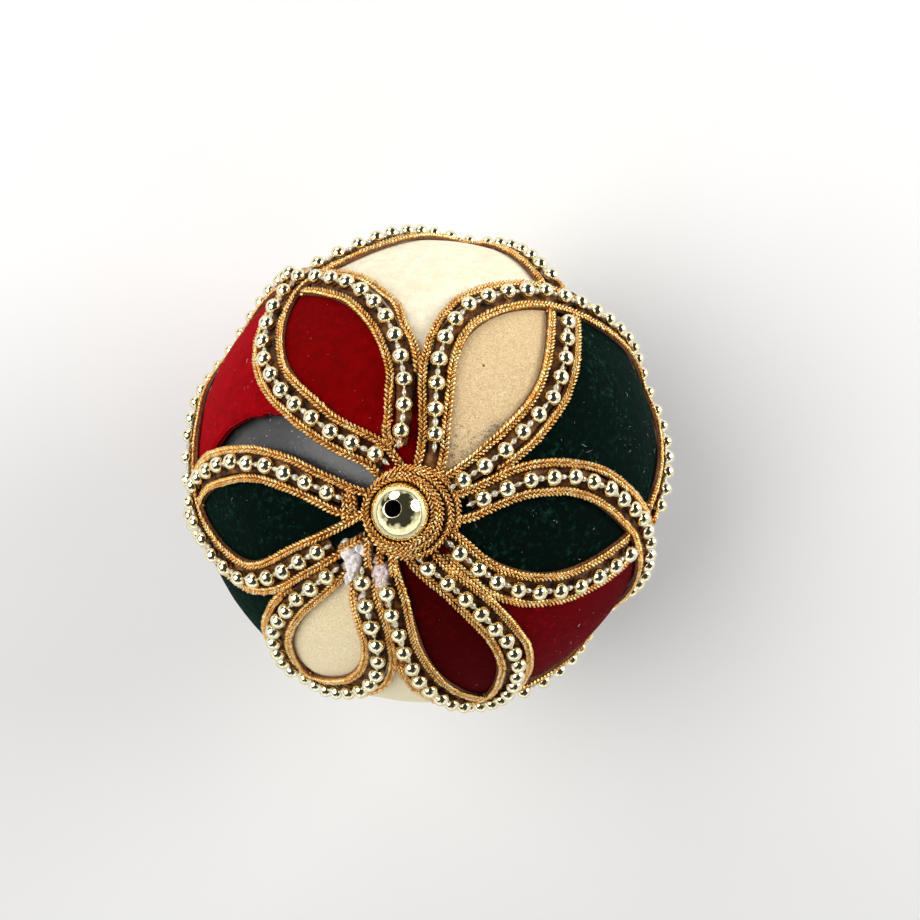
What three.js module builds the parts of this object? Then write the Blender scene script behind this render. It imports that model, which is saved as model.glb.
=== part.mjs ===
// Velvet-covered ornament ball: a foam core, six velvet panels, and a rosette
// of six overlapping loops of trim. Each loop is three lengths laid side by
// side: a braid, a string of beads and a second braid. A coil of braid and one
// large bead finish the top. Millimetres, +Z up through the large bead, origin
// at the middle of the small flat spot that the ball rests on.
//
// Angles: "colat" is degrees down from the top bead, "az" is degrees clockwise
// from +Y seen from above.
import * as THREE from 'three';

// ---- driving sizes (mm) ----------------------------------------------------
const CORE_R = 37.5;          // 75 mm foam ball
const VELVET_IN = 38.2;       // back of the cloth
const VELVET_OUT = 39.2;      // tips of the pile
const FOOT_OUT = 38.2;        // ball centre above the surface it rests on
const FOOT_IN = 37.2;         // cloth back above the flat spot
const FOOT_CORE = 36.7;       // core above the flat spot
const SEAM_GAP = 0.4;         // between two panels
const LIFT = 0.3;             // glue line under the trims
const BEAD_D = 2.5;           // small beads on their string
const BRAID_W = 1.5;
const BRAID_H = 1.2;
const LINE_STEP = 2.35;       // bead string to braid, centre to centre
const TRIM_CLEAR = 0.35;      // least gap between two trims
const COIL_IN = 4.8;          // braid coil around the large bead
const COIL_OUT = 6.35;
const COIL_SHIFT = [0.75, 0.08];
const COIL_TOP = 2.1;         // height of the coil over the cloth
const BIG_BEAD_R = 4.2;
const BIG_BEAD_BORE = 1.15;   // radius
const BIG_BEAD_TILT = 17;     // its hole leans this far from +Z ...
const BIG_BEAD_TILT_AZ = 328; // ... towards this azimuth
const BIG_BEAD_SHIFT = [-0.12, 0.14];

const PANEL_COLS = 6;
const TRIM_STATION = 4.2;     // length between two sections of a trim

const RED = 0x9a0512, CREAM = 0xe9dcb4, GREEN = 0x06261a;
const GOLD = 0xc88a34, BEAD = 0xc9c4a0, FOAM = 0x4c4c50;

// ---- tables ----------------------------------------------------------------
function rows(names, values) {
  const keys = names.split(' ');
  return values.map((v) => Object.fromEntries(keys.map((k, j) => [k, v[j]])));
}

// Colats at which the two long edges of a petal are given.
const EDGE_COLATS = [14, 22, 32, 44, 56];
// Colats of a panel's rows, between the one it starts at and the foot's edge.
const ROW_COLATS = [14, 22, 32, 44, 56, 66, 76, 86, 96, 106, 116, 126, 136, 146, 157];

// One row per petal, clockwise. tip: where its two edges cross. a..: azimuth of
// the edge on the counter-clockwise side at EDGE_COLATS; b..: the other edge.
// start: colat at which its panel begins under the trims.
const PETALS = rows(
  'tipColat tipAz a14 a22 a32 a44 a56 b14 b22 b32 b44 b56 start colour', [
    [69.2, 330.1, 329.0, 315.8, 312.0, 312.3, 318.1, 357.4, 360.7, 358.3, 351.6, 342.1, 8, RED],
    [66.9, 397.4, 386.3, 377.5, 373.1, 375.9, 385.6, 424.4, 421.1, 417.2, 411.5, 403.8, 8, CREAM],
    [65.2, 461.5, 444.8, 439.0, 439.6, 445.8, 454.9, 488.4, 490.5, 487.0, 478.0, 468.1, 8, GREEN],
    [72.4, 523.0, 515.9, 507.6, 505.5, 507.1, 512.8, 560.0, 548.2, 542.5, 537.9, 532.4, 8, RED],
    [73.6, 569.7, 577.0, 562.9, 553.2, 552.1, 557.8, 587.8, 588.6, 589.2, 586.8, 581.7, 16, CREAM],
    [66.2, 626.4, 602.5, 602.2, 601.5, 603.4, 613.6, 640.1, 644.3, 644.6, 640.2, 634.0, 9, GREEN],
  ]);

// One row per loop: its outer bow from this petal's tip to the next one's, with
// a shoulder, the lowest point and a second shoulder.
const BOWS = rows('inColat inAz lowColat lowAz outColat outAz', [
  [76.6, 347.4, 102.0, 369.0, 85.0, 384.2],
  [82.3, 413.3, 99.5, 429.5, 82.0, 447.4],
  [83.9, 476.2, 98.6, 492.0, 81.0, 507.0],
  [82.8, 531.4, 99.3, 545.5, 83.7, 559.6],
  [84.9, 577.1, 100.0, 596.0, 84.0, 614.8],
  [75.2, 644.8, 96.5, 660.2, 84.0, 684.0],
]);

// Where the first panel's torn edge has drawn back from the sixth one's, which
// leaves the core bare: azimuth of that edge at each colat.
const TORN_EDGE = rows('colat az', [
  [7, 330], [14, 327], [22, 315], [30, 308.5], [36, 303.5], [44, 296],
  [50, 290], [56, 281.5], [61.5, 277], [66.2, 266.4],
]);

// Seam 1 runs under the next strand near the centre: azimuth at each colat.
const SEAM_1 = rows('colat az', [[8, 380], [14, 374], [22, 370], [32, 361.5], [44, 351.6]]);

// ---- geometry helpers ------------------------------------------------------
const DEG = Math.PI / 180;
function dir(colat, az) {
  const t = colat * DEG, a = az * DEG;
  return new THREE.Vector3(Math.sin(t) * Math.sin(a), Math.sin(t) * Math.cos(a), Math.cos(t));
}
function lerpTable(xs, ys, x) {
  if (x <= xs[0]) return ys[0];
  for (let i = 1; i < xs.length; i++) {
    if (x <= xs[i]) return ys[i - 1] + (ys[i] - ys[i - 1]) * (x - xs[i - 1]) / (xs[i] - xs[i - 1]);
  }
  return ys[ys.length - 1];
}
// A natural cubic through the points, knots spaced by the root of the chord.
function naturalSpline(pts) {
  const n = pts.length, u = [0];
  for (let i = 1; i < n; i++) u.push(u[i - 1] + Math.sqrt(pts[i].distanceTo(pts[i - 1])));
  const solve = (y) => {
    const m = new Array(n).fill(0), c = new Array(n).fill(0), d = new Array(n).fill(0);
    for (let i = 1; i < n - 1; i++) {
      const h0 = u[i] - u[i - 1], h1 = u[i + 1] - u[i];
      const w = 2 * (h0 + h1) - h0 * c[i - 1];
      c[i] = h1 / w;
      d[i] = (6 * ((y[i + 1] - y[i]) / h1 - (y[i] - y[i - 1]) / h0) - h0 * d[i - 1]) / w;
    }
    for (let i = n - 2; i > 0; i--) m[i] = d[i] - c[i] * m[i + 1];
    return m;
  };
  const ax = ['x', 'y', 'z'], ys = ax.map((k) => pts.map((p) => p[k])), ms = ys.map(solve);
  const at = (t) => {
    let i = 0;
    while (i < n - 2 && t > u[i + 1]) i++;
    const h = u[i + 1] - u[i], a = (u[i + 1] - t) / h, b = (t - u[i]) / h;
    const v = ax.map((_, k) => a * ys[k][i] + b * ys[k][i + 1]
      + ((a ** 3 - a) * ms[k][i] + (b ** 3 - b) * ms[k][i + 1]) * h * h / 6);
    return new THREE.Vector3(...v);
  };
  return { length: u[n - 1], at };
}
// Resample a polyline on the ball to even steps of about `step`.
function even(pts, step) {
  const s = [0];
  for (let i = 1; i < pts.length; i++) s.push(s[i - 1] + pts[i].distanceTo(pts[i - 1]));
  const total = s[s.length - 1], n = Math.max(2, Math.round(total / step)), out = [];
  for (let k = 0, i = 0; k <= n; k++) {
    const t = total * k / n;
    while (i < pts.length - 2 && s[i + 1] < t) i++;
    out.push(pts[i].clone().lerp(pts[i + 1], (t - s[i]) / (s[i + 1] - s[i])));
  }
  return out;
}
function body(positions, triangles) {
  const g = new THREE.BufferGeometry();
  g.setAttribute('position', new THREE.Float32BufferAttribute(positions.flatMap((p) => [p.x, p.y, p.z]), 3));
  g.setIndex(triangles.flat());
  g.computeVertexNormals();
  return g;
}
// Skin a list of closed rings (all the same length), ends capped unless looped.
function loft(rings, looped = false) {
  const m = rings[0].length, pos = rings.flat(), tri = [], n = rings.length;
  for (let i = 0; i < (looped ? n : n - 1); i++) {
    for (let j = 0; j < m; j++) {
      const a = i * m + j, b = i * m + (j + 1) % m;
      const c = ((i + 1) % n) * m + j, d = ((i + 1) % n) * m + (j + 1) % m;
      tri.push([a, d, b], [a, c, d]);
    }
  }
  if (!looped) {
    for (let j = 1; j < m - 1; j++) {
      tri.push([0, j, j + 1], [(n - 1) * m, (n - 1) * m + j + 1, (n - 1) * m + j]);
    }
  }
  return body(pos, tri);
}
const group = new THREE.Group();
const CENTRE = new THREE.Vector3(0, 0, FOOT_OUT);
function add(name, geometry, color, roughness, metalness, place = CENTRE) {
  const mesh = new THREE.Mesh(geometry, new THREE.MeshStandardMaterial({ color, roughness, metalness }));
  mesh.name = name;
  mesh.position.copy(place);
  group.add(mesh);
  return mesh;
}

// ---- core: a ball with one flat -------------------------------------------
const shell = (radius, foot, colat) => (colat > 90
  ? Math.min(radius, foot / Math.abs(Math.cos(colat * DEG))) : radius);
{
  const edge = 180 - Math.acos(FOOT_CORE / CORE_R) / DEG, profile = [];
  for (let t = 0; t <= 15; t++) {
    const colat = edge * t / 15;
    profile.push(new THREE.Vector2(t === 0 ? 0 : CORE_R * Math.sin(colat * DEG), CORE_R * Math.cos(colat * DEG)));
  }
  profile.push(new THREE.Vector2(0, -FOOT_CORE));
  const g = new THREE.LatheGeometry(profile.reverse(), 30);
  g.rotateX(Math.PI / 2);
  add('core_ball', g, FOAM, 0.45, 0);
}

// ---- velvet panels ---------------------------------------------------------
// Seam i lies (seam 1 beyond colat 44) under the clockwise edge of petal i, then runs straight down.
function seamAz(i, colat) {
  const p = PETALS[(i + 6) % 6], off = i < 0 ? -360 : 0;
  if (i === 0 && colat < 44) return lerpTable(SEAM_1.map((r) => r.colat), SEAM_1.map((r) => r.az), colat);
  return off + lerpTable([...EDGE_COLATS, p.tipColat],
    [p.b14, p.b22, p.b32, p.b44, p.b56, p.tipAz], colat);
}
const footEdge = 180 - Math.acos(FOOT_OUT / VELVET_OUT) / DEG;
PETALS.forEach((p, i) => {
  const colats = [p.start, ...ROW_COLATS.filter((c) => c > p.start), footEdge, 178];
  const half = (c) => SEAM_GAP / 2 / (VELVET_OUT * Math.sin(c * DEG)) / DEG;
  const west = (c) => (i === 0 && c < 66.2
    ? lerpTable(TORN_EDGE.map((r) => r.colat), TORN_EDGE.map((r) => r.az), c)
    : seamAz(i - 1, c)) + half(c);
  const east = (c) => seamAz(i, c) - half(c);
  // each ring runs out along the pile side and back along the cloth's back
  const rings = [];
  for (let k = 0; k <= PANEL_COLS; k++) {
    const az = (c) => west(c) + (east(c) - west(c)) * k / PANEL_COLS;
    const outer = colats.map((c) => dir(c, az(c)).multiplyScalar(shell(VELVET_OUT, FOOT_OUT, c)));
    const inner = colats.map((c) => dir(c, az(c)).multiplyScalar(shell(VELVET_IN, FOOT_IN, c)));
    rings.push([...outer, ...inner.reverse()]);
  }
  const names = { [RED]: 'red', [CREAM]: 'cream', [GREEN]: 'green' };
  // strips between rings, and the two long edges closed strip by strip
  const m = rings[0].length, h = m / 2, pos = rings.flat(), tri = [];
  for (let k = 0; k < PANEL_COLS; k++) {
    for (let j = 0; j < m; j++) {
      const a = k * m + j, b = k * m + (j + 1) % m, c = a + m, d = b + m;
      tri.push([a, d, b], [a, c, d]);
    }
  }
  for (let j = 0; j < h - 1; j++) {
    const a = j, b = j + 1, c = m - 2 - j, d = m - 1 - j, e = PANEL_COLS * m;
    tri.push([a, b, c], [a, c, d], [e + a, e + c, e + b], [e + a, e + d, e + c]);
  }
  add(`velvet_${i + 1}_${names[p.colour]}`, body(pos, tri), p.colour, 0.9, 0);
});

// ---- trims -----------------------------------------------------------------
// Loop i leaves the coil along petal i's counter-clockwise edge, bows out below
// the tips and comes back along the next petal's clockwise edge.
function loopSpine(i) {
  const p = PETALS[i], q = PETALS[(i + 1) % 6], w = BOWS[i], off = i === 5 ? 360 : 0;
  const out = EDGE_COLATS.map((c) => dir(c, p[`a${c}`]));
  const back = EDGE_COLATS.map((c) => dir(c, q[`b${c}`] + off)).reverse();
  const curve = naturalSpline([...out, dir(p.tipColat, p.tipAz), dir(w.inColat, w.inAz),
    dir(w.lowColat, w.lowAz), dir(w.outColat, w.outAz), dir(q.tipColat, q.tipAz + off), ...back]);
  const n = 600, pts = [];
  for (let k = 0; k <= n; k++) pts.push(curve.at(curve.length * k / n).normalize());
  // carry both ends on, towards the coil
  const lead = (a, b) => b.clone().multiplyScalar(2).sub(a).normalize();
  for (let k = 0; k < 20; k++) { pts.unshift(lead(pts[1], pts[0])); pts.push(lead(pts[pts.length - 2], pts[pts.length - 1])); }
  return pts;
}
const LINES = {
  braid_in: { side: 1, r: VELVET_OUT + LIFT + BRAID_H / 2, half: BRAID_W / 2 },
  beads: { side: 0, r: VELVET_OUT + LIFT + BEAD_D / 2, half: BEAD_D / 2 },
  braid_out: { side: -1, r: VELVET_OUT + LIFT + BRAID_H / 2, half: BRAID_W / 2 },
};
const spines = PETALS.map((_, i) => loopSpine(i));
const FLAT_R = VELVET_OUT + LIFT;      // distances between trims are taken here
function offsetLine(spine, side) {
  return spine.map((w, k) => {
    const t = spine[Math.min(k + 1, spine.length - 1)].clone().sub(spine[Math.max(k - 1, 0)]);
    const across = t.cross(w).normalize();            // to the right of travel
    return w.clone().addScaledVector(across, side * LINE_STEP / FLAT_R).normalize();
  });
}
const gapTo = (p, line) => line.reduce((m, q) => Math.min(m, p.distanceToSquared(q)), 9) ** 0.5 * FLAT_R;
const tipIndex = (i) => {
  const p = PETALS[i], v = dir(p.tipColat, p.tipAz);
  return spines[i].reduce((b, q, k) => (q.distanceToSquared(v) < spines[i][b].distanceToSquared(v) ? k : b), 0);
};
const BAND_HALF = LINE_STEP + BRAID_W / 2;
const pieces = [];
for (let i = 0; i < 6; i++) {
  const next = (i + 1) % 6, ti = tipIndex(next);
  const over = spines[next].slice(Math.max(0, ti - 150), ti + 150);   // the loop that passes on top
  const tipV = dir(PETALS[next].tipColat, PETALS[next].tipAz);
  for (const [kind, L] of Object.entries(LINES)) {
    const line = offsetLine(spines[i], L.side);
    const n = line.length, need = BAND_HALF + TRIM_CLEAR + 0.45 * L.half;
    let cross = 0;
    for (let k = 0; k < n; k++) if (line[k].distanceToSquared(tipV) < line[cross].distanceToSquared(tipV)) cross = k;
    let e = cross; while (e > 0 && gapTo(line[e], over) < need) e--;
    let s = cross; while (s < n - 1 && gapTo(line[s], over) < need) s++;
    pieces.push({ petal: i + 1, part: 'ccw', kind, L, line: line.slice(0, e + 1), inner: 'start' });
    pieces.push({ petal: next + 1, part: 'cw', kind, L, line: line.slice(s), inner: 'end' });
  }
}
// Near the coil the trims crowd: each runs in until it would touch the coil or
// a trim already laid. Inner braids are laid first, outer braids last.
const ORDER = ['braid_in cw', 'braid_in ccw', 'beads cw', 'beads ccw', 'braid_out cw', 'braid_out ccw'];
pieces.sort((a, b) => ORDER.indexOf(`${a.kind} ${a.part}`) - ORDER.indexOf(`${b.kind} ${b.part}`) || a.petal - b.petal);
const coilClear = (p, half) => Math.hypot(p.x * FLAT_R - COIL_SHIFT[0], p.y * FLAT_R - COIL_SHIFT[1]) > COIL_OUT + 0.75 + TRIM_CLEAR + 0.1 * half;
const laid = [];
for (const pc of pieces) {
  const pts = pc.inner === 'start' ? pc.line : [...pc.line].reverse();   // coil end first
  const near = laid.filter((o) => !(o.petal === pc.petal && o.part === pc.part));
  const clear = (p) => coilClear(p, pc.L.half) && near.every((o) => {
    const need = o.L.half + pc.L.half + TRIM_CLEAR;
    return !o.fine.some((q) => p.distanceTo(q) * FLAT_R < need);
  });
  // the last blocked point decides the start, looking only near the coil
  let last = -1, run = 0;
  for (let k = 0; k < pts.length; k++) {
    if (k) run += pts[k].distanceTo(pts[k - 1]) * FLAT_R;
    if (run > (pc.kind === 'braid_out' ? 34 : 24)) break;
    if (!clear(pts[k])) last = k;
  }
  pc.fine = pts.slice(last + 1);
  laid.push(pc);
}
for (const pc of laid) {
  const st = even(pc.fine, TRIM_STATION / FLAT_R).map((v) => v.normalize());
  const rings = st.map((w, k) => {
    const t = st[Math.min(k + 1, st.length - 1)].clone().sub(st[Math.max(k - 1, 0)]);
    const x = t.clone().cross(w).normalize(), c = w.clone().multiplyScalar(pc.L.r);
    if (pc.kind === 'beads') {
      return [0, 1, 2, 3, 4, 5].map((j) => {
        const a = (j * 60 + 30) * DEG;
        return c.clone().addScaledVector(x, Math.cos(a) * BEAD_D / 2).addScaledVector(w, Math.sin(a) * BEAD_D / 2);
      });
    }
    const hw = BRAID_W / 2, hh = BRAID_H / 2;
    return [[hw, -hh], [hw * 0.8, hh], [-hw * 0.8, hh], [-hw, -hh]]
      .map(([a, b]) => c.clone().addScaledVector(x, a).addScaledVector(w, b));
  });
  const isBead = pc.kind === 'beads';
  add(`petal${pc.petal}_${pc.part}_${pc.kind}`, loft(rings), isBead ? BEAD : GOLD, isBead ? 0.15 : 0.35, isBead ? 1 : 0.7);
}

// ---- braid coil around the large bead --------------------------------------
{
  const rings = [], n = 24;
  for (let k = 0; k < n; k++) {
    const a = k / n * 2 * Math.PI, ux = Math.cos(a), uy = Math.sin(a);
    const at = (r, z, s) => new THREE.Vector3(ux * r + s[0], uy * r + s[1], z);
    const floor = (v) => Math.sqrt(FLAT_R ** 2 - v.x ** 2 - v.y ** 2);
    const inB = at(COIL_IN, 0, BIG_BEAD_SHIFT), outB = at(COIL_OUT, 0, COIL_SHIFT);
    const inT = inB.clone(), outT = outB.clone();
    inB.z = floor(inB); outB.z = floor(outB);
    inT.z = VELVET_OUT + COIL_TOP; outT.z = VELVET_OUT + COIL_TOP * 0.6;
    rings.push([outB, outT, inT, inB]);
  }
  add('centre_coil', loft(rings, true), GOLD, 0.35, 0.7);
}

// ---- large bead, with its hole leaning ------------------------------------
{
  const profile = [], open = Math.asin(BIG_BEAD_BORE / BIG_BEAD_R) / DEG;
  for (let k = 0; k <= 12; k++) {
    const t = (180 - open) - (180 - 2 * open) * k / 12;
    profile.push(new THREE.Vector2(BIG_BEAD_R * Math.sin(t * DEG), BIG_BEAD_R * Math.cos(t * DEG)));
  }
  profile.push(profile[0].clone());
  const g = new THREE.LatheGeometry(profile, 20);
  g.rotateX(Math.PI / 2);
  const place = new THREE.Vector3(...BIG_BEAD_SHIFT, FOOT_OUT + CORE_R + LIFT + BIG_BEAD_R);
  const bead = add('centre_bead', g, 0xe0d596, 0.12, 1, place);
  bead.quaternion.setFromUnitVectors(new THREE.Vector3(0, 0, 1), dir(BIG_BEAD_TILT, BIG_BEAD_TILT_AZ));
}

export default group;
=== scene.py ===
import math

import bpy
import numpy as np
from mathutils import Matrix, Vector


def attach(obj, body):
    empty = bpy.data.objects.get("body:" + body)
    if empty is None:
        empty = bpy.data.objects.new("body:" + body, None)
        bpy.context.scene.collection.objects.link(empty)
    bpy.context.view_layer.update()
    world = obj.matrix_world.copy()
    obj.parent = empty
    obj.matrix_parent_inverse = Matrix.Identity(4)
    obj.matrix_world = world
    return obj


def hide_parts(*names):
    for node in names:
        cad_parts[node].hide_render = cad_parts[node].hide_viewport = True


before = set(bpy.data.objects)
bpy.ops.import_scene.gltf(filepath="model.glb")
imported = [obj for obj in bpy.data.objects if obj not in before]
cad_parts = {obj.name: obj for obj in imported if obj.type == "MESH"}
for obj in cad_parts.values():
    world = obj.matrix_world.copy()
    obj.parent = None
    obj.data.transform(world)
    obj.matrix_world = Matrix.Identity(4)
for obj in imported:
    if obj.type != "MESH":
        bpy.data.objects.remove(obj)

bpy.context.scene.view_settings.view_transform = "Standard"
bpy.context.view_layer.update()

# ---------------------------------------------------------------- sizes (mm)
VELVET = 39.2        # tips of the pile
CLOTH_BACK = 38.25
CORE = 37.5
FOOT = 38.2          # ball centre above the floor
BASE = 39.5          # underside of the trims
BEAD_R = 1.25
PITCH = 3.75         # small beads, centre to centre
BRAID_W, BRAID_H = 1.40, 1.06
STITCH = 0.66        # braid's pitch
OFFSET_FAR = 2.35    # braid from the bead string, away from the centre
BIG_R, BORE_R = 4.2, 1.15
CENTRE = np.array([0.0, 0.0, FOOT])
rng = np.random.default_rng(11)


def rows(names, values):
    keys = names.split()
    return [dict(zip(keys, v)) for v in values]


EDGE = [14, 22, 32, 44, 56]
# a: edge on the counter-clockwise side, b: the other, at the colats of EDGE
PETALS = rows("tipColat tipAz a14 a22 a32 a44 a56 b14 b22 b32 b44 b56 start kind", [
    [69.2, 330.1, 329.0, 315.8, 312.0, 312.3, 318.1, 357.4, 360.7, 358.3, 351.6, 342.1, 8, "red"],
    [66.9, 397.4, 386.3, 377.5, 373.1, 375.9, 385.6, 424.4, 421.1, 417.2, 411.5, 403.8, 8, "cream"],
    [65.2, 461.5, 444.8, 439.0, 439.6, 445.8, 454.9, 488.4, 490.5, 487.0, 478.0, 468.1, 8, "green"],
    [72.4, 523.0, 515.9, 507.6, 505.5, 507.1, 512.8, 560.0, 548.2, 542.5, 537.9, 532.4, 8, "red"],
    [73.6, 569.7, 577.0, 562.9, 553.2, 552.1, 557.8, 587.8, 588.6, 589.2, 586.8, 581.7, 16, "cream"],
    [66.2, 626.4, 602.5, 602.2, 601.5, 603.4, 613.6, 640.1, 644.3, 644.6, 640.2, 634.0, 9, "green"],
])
BOWS = rows("inColat inAz lowColat lowAz outColat outAz", [
    [76.6, 347.4, 102.0, 369.0, 85.0, 384.2],
    [82.3, 413.3, 99.5, 429.5, 82.0, 447.4],
    [83.9, 476.2, 98.6, 492.0, 81.0, 507.0],
    [82.8, 531.4, 99.3, 545.5, 83.7, 559.6],
    [84.9, 577.1, 100.0, 596.0, 84.0, 614.8],
    [75.2, 644.8, 96.5, 660.2, 84.0, 684.0],
])
# how near the braids lie to the beads beside the coil, and where each run starts
NEAR_OFFSET = {"1cw_in": 2.25, "2ccw_in": 1.5, "2ccw_out": 1.62, "3cw_in": 1.42, "4cw_in": 2.05, "5ccw_out": 1.55,
               "3ccw_in": 1.9, "6ccw_in": 1.9, "6cw_in": 1.95}
START = {"1cw_in": 2.6, "1cw_out": 10.0, "3ccw_out": -3.0, "2cw_out": 4.5, "4ccw_out": -2.5, "3cw_out": -0.8,
         "4cw_out": 12.0, "5ccw_in": 3.4, "5cw_in": 2.2, "5cw_out": 4.5, "5ccw_out": 1.5, "6ccw_out": 1.2}
# first bead of each strand, mm outwards from colat 14
FIRST_BEAD = {"A": [-1.4, 1.7, 1.6, -0.9, 3.1, 4.5], "B": [1.3, -0.4, 0.2, 3.3, 5.7, 1.3]}
TORN = [[7, 330], [14, 327], [22, 315], [30, 308.5], [36, 303.5], [44, 296], [50, 290],
        [56, 281.5], [61.5, 277], [66.2, 266.4]]

DEG = math.pi / 180


def sph(colat, az):
    """Unit vectors; az runs clockwise from +Y seen from above."""
    t, a = np.asarray(colat) * DEG, np.asarray(az) * DEG
    return np.stack([np.sin(t) * np.sin(a), np.sin(t) * np.cos(a), np.cos(t) + 0 * a], -1)


def unit(v):
    return v / np.linalg.norm(v, axis=-1, keepdims=True)


def smooth(x, lo, hi):
    t = np.clip((np.asarray(x, float) - lo) / (hi - lo), 0, 1)
    return t * t * (3 - 2 * t)


def value_noise(p, cell, seed):
    """Smooth repeatable noise in -1..1 at the points p (mm)."""
    q = np.asarray(p, float) / cell
    i = np.floor(q).astype(np.int64)
    f = q - i
    f = f * f * (3 - 2 * f)
    out = 0
    for dx in (0, 1):
        for dy in (0, 1):
            for dz in (0, 1):
                h = (i[..., 0] + dx) * 73856093 ^ (i[..., 1] + dy) * 19349663 ^ (i[..., 2] + dz) * 83492791 ^ seed * 2654435
                h = (h ^ (h >> 13)) * 1274126177 & 0x7FFFFFFF
                w = (f[..., 0] if dx else 1 - f[..., 0]) * (f[..., 1] if dy else 1 - f[..., 1]) * (f[..., 2] if dz else 1 - f[..., 2])
                out = out + w * ((h & 0xFFFF) / 32767.5 - 1)
    return out


# ------------------------------------------------------------- mesh building
def new_object(name, verts, faces, mats, mat_index=None, uv=None, point=None, shade=True):
    """verts in mm in the row frame; faces a list of (F, k) index arrays; mat_index and
    uv go with the faces, one entry for each array; point is {name: per-vertex value}."""
    me = bpy.data.meshes.new(name)
    verts = np.asarray(verts, float).reshape(-1, 3) * 0.001
    faces = [np.asarray(f, np.int64) for f in faces if len(f)]
    me.vertices.add(len(verts))
    me.vertices.foreach_set("co", verts.ravel())
    loops = np.concatenate([f.ravel() for f in faces])
    sizes = np.concatenate([np.full(len(f), f.shape[1]) for f in faces])
    me.loops.add(len(loops))
    me.loops.foreach_set("vertex_index", loops)
    me.polygons.add(len(sizes))
    me.polygons.foreach_set("loop_start", np.concatenate([[0], np.cumsum(sizes)[:-1]]))
    if mat_index is not None:
        me.polygons.foreach_set("material_index", np.concatenate([np.broadcast_to(m, len(f)) for m, f in zip(mat_index, faces)]).astype(np.int32))
    me.polygons.foreach_set("use_smooth", np.full(len(sizes), shade))
    if uv is not None:
        layer = me.uv_layers.new(name="UVMap")
        layer.data.foreach_set("uv", np.concatenate([np.asarray(u, float).reshape(-1, 2) for u in uv]).ravel())
    for key, vals in (point or {}).items():
        me.attributes.new(key, "FLOAT", "POINT").data.foreach_set("value", np.asarray(vals, float).ravel())
    me.update(calc_edges=True)
    me.validate()
    for m in mats:
        me.materials.append(m)
    ob = bpy.data.objects.new(name, me)
    bpy.context.scene.collection.objects.link(ob)
    return ob


def grid_faces(n, m, base=0, wrap=False):
    """Quads of an n by m grid of points; wrap joins the last column to the first."""
    i, j = np.meshgrid(np.arange(n - 1), np.arange(m if wrap else m - 1), indexing="ij")
    j2 = (j + 1) % m
    return (base + np.stack([i * m + j, i * m + j2, (i + 1) * m + j2, (i + 1) * m + j], -1)).reshape(-1, 4)


class Builder:
    """Collects many small meshes into one."""

    def __init__(self):
        self.v, self.f, self.m, self.a, self.n = [], [], [], [], 0

    def add(self, verts, faces, mat=0, value=0.0):
        verts = np.asarray(verts, float).reshape(-1, 3)
        for f in faces:
            if len(f):
                self.f.append(np.asarray(f) + self.n)
                self.m.append(mat)
        self.a.append(np.broadcast_to(value, (len(verts), 2)))
        self.v.append(verts)
        self.n += len(verts)

    def make(self, name, mats):
        by = {}
        for f, m in zip(self.f, self.m):
            by.setdefault((f.shape[1], m), []).append(f)
        keys = list(by)
        a = np.concatenate(self.a)
        return new_object(name, np.concatenate(self.v), [np.concatenate(by[k]) for k in keys], mats,
                          [k[1] for k in keys], None, {"vary": a[:, 0], "lay": a[:, 1]})


def stamp(template, faces, frames, mat, out, value):
    """Copies template (T, 3) to each frame (S, 4, 3: place and three axes)."""
    place, ax = frames[:, 0], frames[:, 1:]
    verts = place[:, None] + np.einsum("tk,skj->stj", template, ax)
    count = len(template)
    shift = (np.arange(len(frames)) * count)[:, None, None]
    out.add(verts, [(f[None] + shift).reshape(-1, f.shape[1]) for f in faces], mat,
            np.stack([np.repeat(value, count), np.tile(template[:, 1], len(frames))], -1))


def ellipsoid_template(rings, segs, xs, rs):
    """A closed spindle along the first axis: stations xs, radii rs between two points."""
    pts, faces = [[xs[0], 0, 0]], []
    for x, r in zip(xs[1:-1], rs[1:-1]):
        for k in range(segs):
            a = 2 * math.pi * k / segs
            pts.append([x, r * math.cos(a), r * math.sin(a)])
    pts.append([xs[-1], 0, 0])
    n = len(xs) - 2
    tri = [[0, 1 + (k + 1) % segs, 1 + k] for k in range(segs)]
    last = 1 + n * segs
    tri += [[last, 1 + (n - 1) * segs + k, 1 + (n - 1) * segs + (k + 1) % segs] for k in range(segs)]
    quad = [[1 + i * segs + k, 1 + i * segs + (k + 1) % segs, 1 + (i + 1) * segs + (k + 1) % segs, 1 + (i + 1) * segs + k]
            for i in range(n - 1) for k in range(segs)]
    return np.array(pts, float), [np.array(tri), np.array(quad)]


STITCH_T, STITCH_F = ellipsoid_template(3, 6, [-1, -0.7, 0, 0.7, 1], [0, 0.78, 1, 0.78, 0])
LAT = [math.cos(math.pi * k / 13) for k in range(14)]
BALL_T, BALL_F = ellipsoid_template(12, 20, [-v for v in LAT], [math.sqrt(max(0, 1 - v * v)) for v in LAT])
KNOB_T, KNOB_F = ellipsoid_template(3, 8, [-1, -0.98, -0.6, -0.43, -0.22, 0, 0.22, 0.43, 0.6, 0.98, 1],
                                    [0, 0.42, 0.50, 0.86, 1, 1.06, 1, 0.86, 0.50, 0.42, 0])


# ----------------------------------------------------------------- materials
def material(name):
    m = bpy.data.materials.new(name)
    m.use_nodes = True
    nt = m.node_tree
    return m, nt, nt.nodes["Principled BSDF"]


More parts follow.
